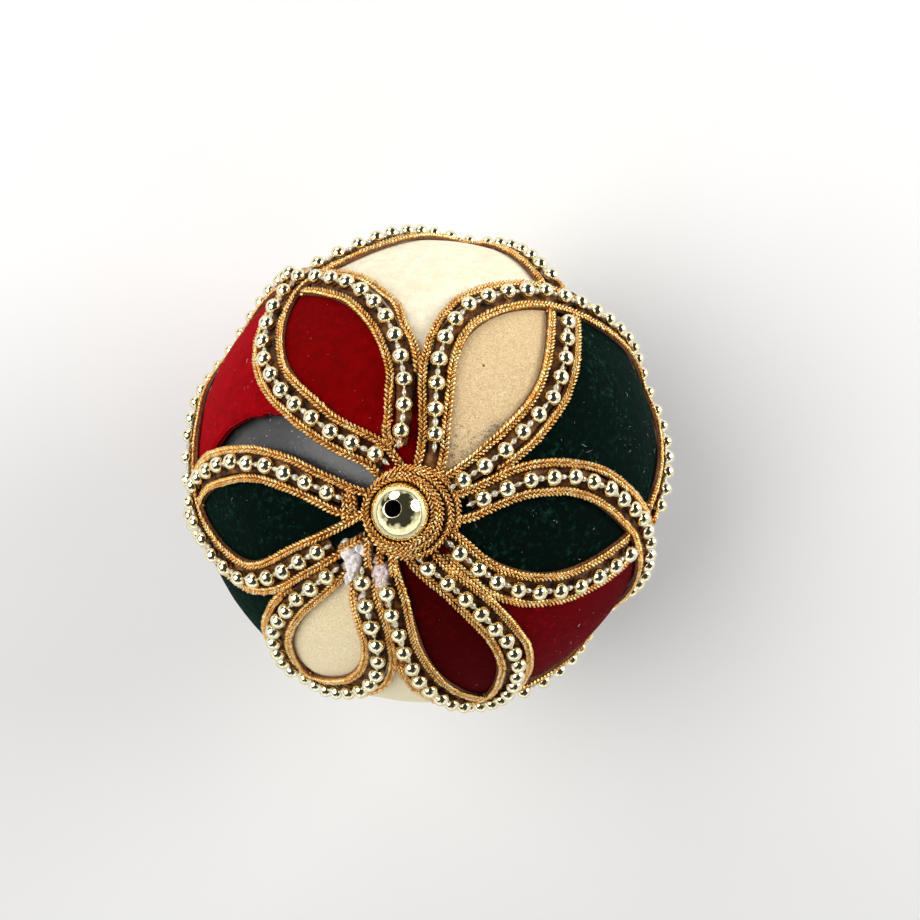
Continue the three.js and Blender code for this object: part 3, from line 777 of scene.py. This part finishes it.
# ------------------------------------------------------------------------ core
cols, edge = 120, 180 - math.acos(36.7 / CORE) / DEG
c = np.concatenate([np.linspace(0.6, edge, 78), [edge + 4, 176, 179.2]])
az = np.arange(cols) * 360 / cols
cc, aa = np.meshgrid(c, az, indexing="ij")
rr = np.where(cc > 90, np.minimum(CORE, 36.7 / np.maximum(1e-6, np.abs(np.cos(cc * DEG)))), CORE)
p = sph(cc, aa) * rr[..., None]
p = p + unit(p) * (0.03 * value_noise(p, 2.5, 5))[..., None]
ob = new_object("foam_core", p.reshape(-1, 3) + CENTRE,
                [grid_faces(len(c), cols, 0, True)[:, ::-1], np.array([np.arange(cols)]), np.array([(len(c) - 1) * cols + np.arange(cols)[::-1]])], [M_CORE], [0, 0, 0])
finish_piece(ob, ["core_ball"])


def edge_az(i, colat, side):
    p = PETALS[i % 6]
    off = 360 * (i // 6)
    xs = EDGE + [p["tipColat"]]
    return off + np.interp(colat, xs, [p[f"{side}{k}"] for k in EDGE] + [p["tipAz"]])


SEAM_1 = [[8, 380], [14, 374], [22, 370], [32, 361.5], [44, 351.6]]   # under the next strand near the centre


def seam(i, colat):
    if i % 6 == 0:
        own = edge_az(i, colat, "b")
        return np.where(colat < 44, np.interp(colat, [r[0] for r in SEAM_1], [r[1] for r in SEAM_1]) + 360 * (i // 6), own)
    return edge_az(i, colat, "b")


# --------------------------------------------- loose ends, glue, lint and frays
ENDS = {      # short ends of braid beside the coil: colat, azimuth
    "a": [[13.6, 290.0], [11.9, 289.5], [10.6, 283.0], [10.1, 270.0], [10.3, 259.0]],
    "b": [[12.9, 284.0], [12.0, 276.0], [11.8, 266.0], [12.6, 258.0]],
    "c": [[17.0, 237.5], [14.6, 236.5], [12.2, 236.5], [9.7, 235.0]],
    "d": [[9.6, 229.0], [11.0, 221.0], [13.0, 214.0], [15.0, 209.5]],
    "e": [[9.7, 211.0], [11.6, 205.5], [13.8, 201.5]],
    "f": [[9.6, 196.0], [12.0, 191.5], [14.6, 188.0]],
}
out = Builder()
for k, pts in enumerate(ENDS.values()):
    w = natural([sph(c, a) for c, a in pts])[::40]
    braid(out, w * (BASE + 0.05 + 0.25 * (k % 2)) + CENTRE, w, width=1.3, height=1.0, seed=900 + k, tuck=(1.8, 1.4))
finish_piece(out.make("plait_loose_ends", [M_GOLD, M_CORD_SHADE_AND_SPECK]), [])


def blob(out, colat, az, length, wide, turn, high, seed, mat=0):
    """A dried lump of glue: mm along and across, turned from the way outwards."""
    c = sph(colat, az)
    a = unit(np.cross(np.cross(c, [0, 0, 1.0]), c))
    b = np.cross(c, a)
    cs, sn = math.cos(turn * DEG), math.sin(turn * DEG)
    a, b = a * cs + b * sn, b * cs - a * sn
    rings, seg = 14, 34
    rho, th = np.meshgrid(np.linspace(0.02, 1, rings), np.arange(seg) * 2 * math.pi / seg, indexing="ij")
    edge = 1 + 0.22 * value_noise(np.stack([np.cos(th) * 2, np.sin(th) * 2, 0 * th + seed], -1), 1.1, seed)
    p = a * (rho * np.cos(th) * edge * length)[..., None] + b * (rho * np.sin(th) * edge * wide)[..., None]
    lift = high * np.sqrt(np.maximum(0, 1 - rho ** 2.2))
    lift = lift * (1 + 0.55 * value_noise(p, 0.55, seed + 1)) + 0.12 * high * value_noise(p, 0.22, seed + 2) * (rho < 0.95)
    top = unit(c * BASE + p) * (BASE - 0.25 + np.maximum(lift, 0))[..., None] + CENTRE
    low = unit(c * BASE + p[-1]) * (BASE - 0.7) + CENTRE
    n = rings * seg
    out.add(np.concatenate([top.reshape(-1, 3), low]),
            [grid_faces(rings, seg, 0, True), np.array([np.arange(seg)[::-1]]),
             np.stack([(rings - 1) * seg + np.arange(seg), (rings - 1) * seg + (np.arange(seg) + 1) % seg, n + (np.arange(seg) + 1) % seg, n + np.arange(seg)], -1),
             np.array([n + np.arange(seg)])], mat)


GLUE = rows("colat az length wide turn high mat", [
    [15.4, 232.0, 2.0, 1.2, 60, 1.05, 0],
    [16.2, 222.0, 1.6, 1.3, 20, 1.20, 0],
    [19.4, 218.5, 1.5, 0.7, 10, 0.9, 0],
    [12.6, 226.0, 1.5, 0.9, 90, 0.95, 0],
    [14.6, 200.5, 1.7, 1.5, 10, 1.30, 1],
    [17.2, 197.5, 1.5, 1.3, 0, 1.2, 1],
    [12.6, 208.0, 1.1, 0.8, 80, 0.9, 1],
    [21.5, 190.5, 2.2, 0.7, 12, 0.75, 2],
    [26.0, 187.5, 1.9, 0.6, 0, 0.65, 2],
    [22.5, 206.0, 1.5, 0.5, 0, 0.7, 1],
    [27.0, 197.0, 1.7, 0.7, 10, 0.65, 2],
])
out = Builder()
for k, row in enumerate(GLUE):
    blob(out, row["colat"], row["az"], row["length"], row["wide"], row["turn"], row["high"], 60 + 7 * k, row["mat"])
finish_piece(out.make("glue_drops", [M_GLUE, M_GLUE_MAUVE, M_GLUE_AMBER]), [])

FIB_SEC = np.array([0, 2 * math.pi / 3, 4 * math.pi / 3])


def fibre(out, g, c, heading, length, radius, curl, mat, lift=0.06, rise=0.0):
    """One thin hair on the pile from the unit point c, heading in degrees."""
    steps = max(4, int(length / 0.16))
    a = unit(np.cross([0.0, 0.0, 1.0], c) + 1e-9)
    b = np.cross(c, a)
    h = heading * DEG
    p, w = [c], g.normal(0, 1)
    for k in range(steps):
        h += curl * w * length / steps
        w = 0.7 * w + 0.7 * g.normal(0, 1)
        p.append(unit(p[-1] + (a * math.cos(h) + b * math.sin(h)) * length / steps / VELVET))
    p = np.array(p)
    t = unit(np.gradient(p, axis=0))
    side = unit(np.cross(t, p))
    x = np.linspace(0, 1, len(p))
    r = radius * (1 - 0.75 * np.abs(2 * x - 1) ** 2)
    mid = p * (VELVET + lift + rise * x)[:, None] + CENTRE
    ring = mid[:, None] + side[:, None] * (np.cos(FIB_SEC)[None] * r[:, None])[..., None] + p[:, None] * (np.sin(FIB_SEC)[None] * r[:, None])[..., None]
    m = len(p)
    out.add(ring.reshape(-1, 3), [grid_faces(m, 3, 0, True), np.array([[2, 1, 0]]), np.array([[(m - 1) * 3, (m - 1) * 3 + 1, (m - 1) * 3 + 2]])], mat, g.random())


# the teal hair colour is painted sheen of the green pile
M_HAIR = [fibre_material("lint_white", (0.80, 0.79, 0.78)), fibre_material("lint_mauve", (0.55, 0.34, 0.42)),
          fibre_material("hair_dark", (0.010, 0.010, 0.028)), fibre_material("hair_red", (0.36, 0.006, 0.02)),
          fibre_material("hair_teal_sheen", (0.012, 0.075, 0.055)), fibre_material("hair_cream", (0.90, 0.82, 0.62))]


def clear_of_trims(c, need):
    return min(float(np.min(np.linalg.norm(r["u"][::8] - c, axis=1))) for r in lines) * BASE > need


g = np.random.default_rng(42)
out = Builder()
count = 0
while count < 430:      # dust and lint, mostly on the darker pile
    c = unit(g.normal(0, 1, 3))
    if c[2] < -0.75 or c[2] > 0.975 or not clear_of_trims(c, 0.95):
        continue
    colat, az = math.acos(c[2]) / DEG, math.atan2(c[0], c[1]) / DEG % 360
    i = next(j for j in range(6) if (az - float(seam(j - 1, np.array(colat)))) % 360 <= (float(seam(j, np.array(colat))) - float(seam(j - 1, np.array(colat)))) % 360)
    kind = PETALS[i]["kind"]
    if kind == "cream" and g.random() < 0.9:
        continue
    if kind == "red" and g.random() < 0.35:
        continue
    mat = 0 if g.random() < 0.6 else 1
    fibre(out, g, c, g.uniform(0, 360), float(np.clip(g.exponential(0.35), 0.12, 1.7)), g.uniform(0.014, 0.032), 1.3, mat, 0.05)
    count += 1
for k in range(900):    # raised tips of the pile, on the green panels only; their teal is painted sheen
    c = unit(g.normal(0, 1, 3))
    if c[2] < -0.7 or c[2] > 0.97 or not clear_of_trims(c, 0.9):
        continue
    colat, az = math.acos(c[2]) / DEG, math.atan2(c[0], c[1]) / DEG % 360
    i = next(j for j in range(6) if (az - float(seam(j - 1, np.array(colat)))) % 360 <= (float(seam(j, np.array(colat))) - float(seam(j - 1, np.array(colat)))) % 360)
    kind = PETALS[i]["kind"]
    if kind == "green":
        fibre(out, g, c, g.uniform(20, 70), g.uniform(0.2, 0.6), g.uniform(0.02, 0.04), 0.6, 4, 0.03)
for k in range(150):    # frayed raw edge beside petal 2's clockwise strand
    f = g.random()
    colat = 14.5 + 13.5 * f
    az = float(np.interp(colat, [14, 18, 22, 26, 29], [47.6, 49.2, 50.2, 50.8, 51.2])) - abs(g.normal(0, 0.9 + 1.2 * (f < 0.5))) / math.sin(colat * DEG) * 1.3
    dark = g.random() < 0.62
    fibre(out, g, sph(colat, az), g.uniform(60, 240), g.uniform(0.2, 0.9), g.uniform(0.02, 0.045), 2.2, 2 if dark else 0, 0.06, g.uniform(0, 0.4))
for k in range(260):    # frayed torn edge of the first panel
    colat = g.uniform(20, 64)
    az = float(np.interp(colat, [r[0] for r in TORN], [r[1] for r in TORN])) + g.uniform(-0.3, 0.7) / math.sin(colat * DEG)
    fibre(out, g, sph(colat, az), g.uniform(150, 330), g.uniform(0.2, 0.75), g.uniform(0.02, 0.04), 2.0, 3, -0.05 - 0.3 * g.random(), -0.35)
for k in range(70):     # green fuzz caught along petal 6's outer braid, teal as painted sheen
    c = by_name[6, "cw", "braid_out"]["u"]
    c = c[int(g.integers(40, min(len(c), 330)))]
    fibre(out, g, unit(c + g.normal(0, 0.012, 3)), g.uniform(0, 360), g.uniform(0.2, 0.7), g.uniform(0.02, 0.035), 2.0, 4, 0.3, 0.5)
finish_piece(out.make("lint_and_frays", M_HAIR), [])

out = Builder()
blob(out, 35.3, 29.4, 0.24, 0.20, 0, 0.12, 5)
ob = out.make("speck_dark", [M_CORD_SHADE_AND_SPECK])
for vtx in ob.data.vertices:
    d = Vector(vtx.co) * 1000 - Vector(CENTRE.tolist())
    vtx.co = (Vector(CENTRE.tolist()) + d * ((d.length - 0.12) / d.length)) * 0.001
finish_piece(ob, [])


# ---------------------------------------------------------------------- velvet
foot_edge = 180 - math.acos(FOOT / VELVET) / DEG
# how pale each petal lies (0 as the ground, 1 as the petal), how much painted shade its pile and the
# ground's beyond its far edge get, and how much painted sheen of raised pile they get
PANEL_TONE_AND_PAINTED_LIGHT = rows("tone deepIn deepOut brushIn brushOut", [
    [1.0, 0.10, 0.05, 0.25, 0.35],
    [1.0, 0.00, 0.00, 0.30, 0.10],
    [1.0, 0.50, 0.50, 0.9, 1.0],
    [1.0, 0.95, 0.62, 0.12, 0.32],
    [1.0, 0.00, 0.00, 0.55, 0.30],
    [1.0, 0.35, 0.30, 0.80, 0.60],
])
for i, p in enumerate(PETALS):
    c = np.concatenate([np.arange(p["start"], foot_edge - 0.5, 1.1), [foot_edge, foot_edge + 1.5, 171, 174, 176.5, 178]])
    cols = 56
    east = seam(i, c)
    west = seam(i - 1, c)
    if i == 0:
        torn = np.interp(c, [r[0] for r in TORN], [r[1] for r in TORN])
        wild = value_noise(np.stack([c * 0.684, c * 0, c * 0], -1), 0.9, 3) * 0.45 + value_noise(np.stack([c * 0.684, c * 0 + 9, c * 0], -1), 3.5, 8) * 0.5
        torn = torn + wild / (VELVET * np.sin(c * DEG)) / DEG
        west = np.where(c < 66.2, torn, west)
    gap = 0.16 / (VELVET * np.sin(c * DEG)) / DEG
    west, east = west + gap, east - gap
    width = (east - west) * DEG * np.sin(c * DEG) * VELVET          # mm
    k = np.linspace(0, 1, cols)
    kk = k + 0.035 * np.sin(2 * np.pi * k) * -1                   # more columns near the seams
    az = west[:, None] + (east - west)[:, None] * kk[None]
    cc = np.repeat(c[:, None], cols, 1)
    u = sph(cc, az)
    foot_r = np.where(cc > 90, FOOT / np.maximum(1e-6, np.abs(np.cos(cc * DEG))), 99)
    d = np.minimum(kk[None] * width[:, None], (1 - kk[None]) * width[:, None])       # mm to the nearer seam
    d = np.minimum(d, (cc - p["start"]) * DEG * VELVET + 0.25)
    roll = 0.62 * np.exp(-(d / 0.42) ** 1.3) + 0.16 * np.exp(-d / 1.6)
    if i == 0:
        loose = (cc < 66) * (kk[None] < 0.5)
        roll = np.where(loose, 0.42 * np.exp(-(d / 0.35) ** 1.3), roll)
    puff = 0.10 * value_noise(u * VELVET, 7.0, 20 + i) + 0.045 * value_noise(u * VELVET, 2.2, 30 + i)
    r_out = np.minimum(VELVET - roll + puff * smooth(d, 0.2, 2.0), foot_r)
    r_in = np.minimum(CLOTH_BACK, np.where(cc > 90, (FOOT - 0.95) / np.maximum(1e-6, np.abs(np.cos(cc * DEG))), 99)) + 0 * d
    r_in = np.minimum(r_in, r_out - 0.12)
    outer, inner = u * r_out[..., None], u * r_in[..., None]
    m, q = len(c), cols
    verts = np.concatenate([outer.reshape(-1, 3), inner.reshape(-1, 3)]) + CENTRE
    fo = grid_faces(m, q)[:, ::-1]
    fi = grid_faces(m, q, m * q)
    rowi, coli = np.arange(m - 1), np.arange(q - 1)
    w0, w1 = rowi * q, (rowi + 1) * q
    left = np.stack([w0, w1, w1 + m * q, w0 + m * q], -1)
    right = np.stack([w1 + q - 1, w0 + q - 1, w0 + q - 1 + m * q, w1 + q - 1 + m * q], -1)
    topf = np.stack([coli + 1, coli, coli + m * q, coli + 1 + m * q], -1)
    botf = np.stack([(m - 1) * q + coli, (m - 1) * q + coli + 1, (m - 1) * q + coli + 1 + m * q, (m - 1) * q + coli + m * q], -1)
    a_edge = edge_az(i, cc, "a")
    inside = (az - a_edge) * DEG * np.sin(cc * DEG) * VELVET
    tone = smooth(inside, -0.8, 0.8) * (1 - smooth(cc, p["tipColat"] - 1.5, p["tipColat"] + 0.5))
    nap = PANEL_TONE_AND_PAINTED_LIGHT[i]
    within = tone * smooth((edge_az(i, cc, "b") - az) * DEG * np.sin(cc * DEG) * VELVET, -0.8, 0.8)
    away = smooth(u @ np.array([0.62, -0.62, -0.48]), 0.0, 0.85)      # turned from the main light
    # painted shade: the panel's amount, plus more on the side turned from the main light
    painted_shade = nap["deepOut"] + (nap["deepIn"] - nap["deepOut"]) * within + 0.35 * away * (1 - 0.6 * (p["kind"] == "cream"))
    # painted sheen: the panel's amount of light spots on raised pile
    painted_sheen = nap["brushOut"] + (nap["brushIn"] - nap["brushOut"]) * within
    fields = {"tone": tone * nap["tone"], "painted_shade": np.clip(painted_shade, 0, 0.95), "painted_sheen": painted_sheen}
    fields = {k2: np.concatenate([v2.ravel(), v2.ravel()]) for k2, v2 in fields.items()}
    faces = [fo, fi, left, right, topf, botf]
    name = f"velvet_{i + 1}_{p['kind']}"
    ob = new_object("cloth_" + name, verts, faces, [M_VELVET["pale" if i == 4 else p["kind"]]], [0] * 6, None, fields)
    finish_piece(ob, [name])

# ----------------------------------------------------------------- floor, light
m, nt, bsdf = material("floor_paper")
g = Net(nt)
g.link(g.ramp(g.noise(9, 2), [(0.3, (0.86, 0.86, 0.865)), (0.7, (0.90, 0.90, 0.90))]), bsdf.inputs["Base Color"])
bsdf.inputs["Roughness"].default_value = 0.75
bsdf.inputs["Specular IOR Level"].default_value = 0.2
floor = new_object("floor", [[-1500, -1500, 0], [1500, -1500, 0], [1500, 1500, 0], [-1500, 1500, 0]], [np.array([[0, 1, 2, 3]])], [m], [0])


def area_light(name, where, size, power, colour=(1, 1, 1)):
    data = bpy.data.lights.new(name, "AREA")
    data.shape, data.size, data.energy, data.color = "DISK", size, power, colour
    ob = bpy.data.objects.new(name, data)
    ob.location = where
    ob.rotation_euler = (Vector((0, 0, 0.04)) - Vector(where)).to_track_quat("-Z", "Y").to_euler()
    bpy.context.scene.collection.objects.link(ob)


area_light("key", (-0.35, 0.13, 0.52), 0.60, 3.2, (1.0, 0.99, 0.97))
area_light("window", (-0.16, 0.50, 0.22), 0.34, 0.7, (1.0, 0.99, 0.98))
area_light("fill", (0.47, 0.19, 0.23), 0.36, 2.3, (1.0, 0.99, 0.98))

world = bpy.data.worlds.new("studio")
bpy.context.scene.world = world
world.use_nodes = True
wt = world.node_tree
bg = wt.nodes["Background"]
co = wt.nodes.new("ShaderNodeTexCoord")
sep = wt.nodes.new("ShaderNodeSeparateXYZ")
rampn = wt.nodes.new("ShaderNodeValToRGB")
wt.links.new(co.outputs["Generated"], sep.inputs[0])
noisen = wt.nodes.new("ShaderNodeTexNoise")          # the uneven walls of a room
noisen.inputs["Scale"].default_value = 3.2
noisen.inputs["Detail"].default_value = 1.0
wt.links.new(co.outputs["Generated"], noisen.inputs["Vector"])
addn = wt.nodes.new("ShaderNodeMath")
addn.operation = "MULTIPLY_ADD"
addn.inputs[1].default_value = 1.05
wt.links.new(noisen.outputs["Fac"], addn.inputs[0])
lean = wt.nodes.new("ShaderNodeMath")        # brighter towards the near side
lean.operation = "MULTIPLY_ADD"
lean.inputs[1].default_value = 0.32
wt.links.new(sep.outputs["Y"], lean.inputs[0])
wt.links.new(sep.outputs["Z"], lean.inputs[2])
wt.links.new(lean.outputs[0], addn.inputs[2])
wt.links.new(addn.outputs[0], rampn.inputs["Fac"])
wt.links.new(rampn.outputs["Color"], bg.inputs["Color"])
el = rampn.color_ramp.elements
el[0].position, el[0].color = 0.50, (1.0, 1.0, 1.0, 1)
el[1].position, el[1].color = 1.0, (0.035, 0.035, 0.033, 1)
mid = el.new(0.80)
mid.color = (0.50, 0.50, 0.49, 1)
bg.inputs["Strength"].default_value = 1.40

# ---------------------------------------------------------------------- camera
cam_data = bpy.data.cameras.new("camera")
cam_data.sensor_width = 36
cam_data.lens = 36 * 1238.65 / 920
cam_data.clip_start, cam_data.clip_end = 0.01, 10
cam = bpy.data.objects.new("camera", cam_data)
right = Vector((0.998009, -0.008051, -0.062561))
down = Vector((0.0, -0.991821, 0.127637))
fwd = Vector((-0.063077, -0.127383, -0.989846))
place = Vector((0.018977, 0.029006, 0.21081 + 0.0382))
rot = Matrix((right, -down, -fwd)).transposed().to_4x4()
cam.matrix_world = Matrix.Translation(place) @ rot
bpy.context.scene.collection.objects.link(cam)
bpy.context.scene.camera = cam
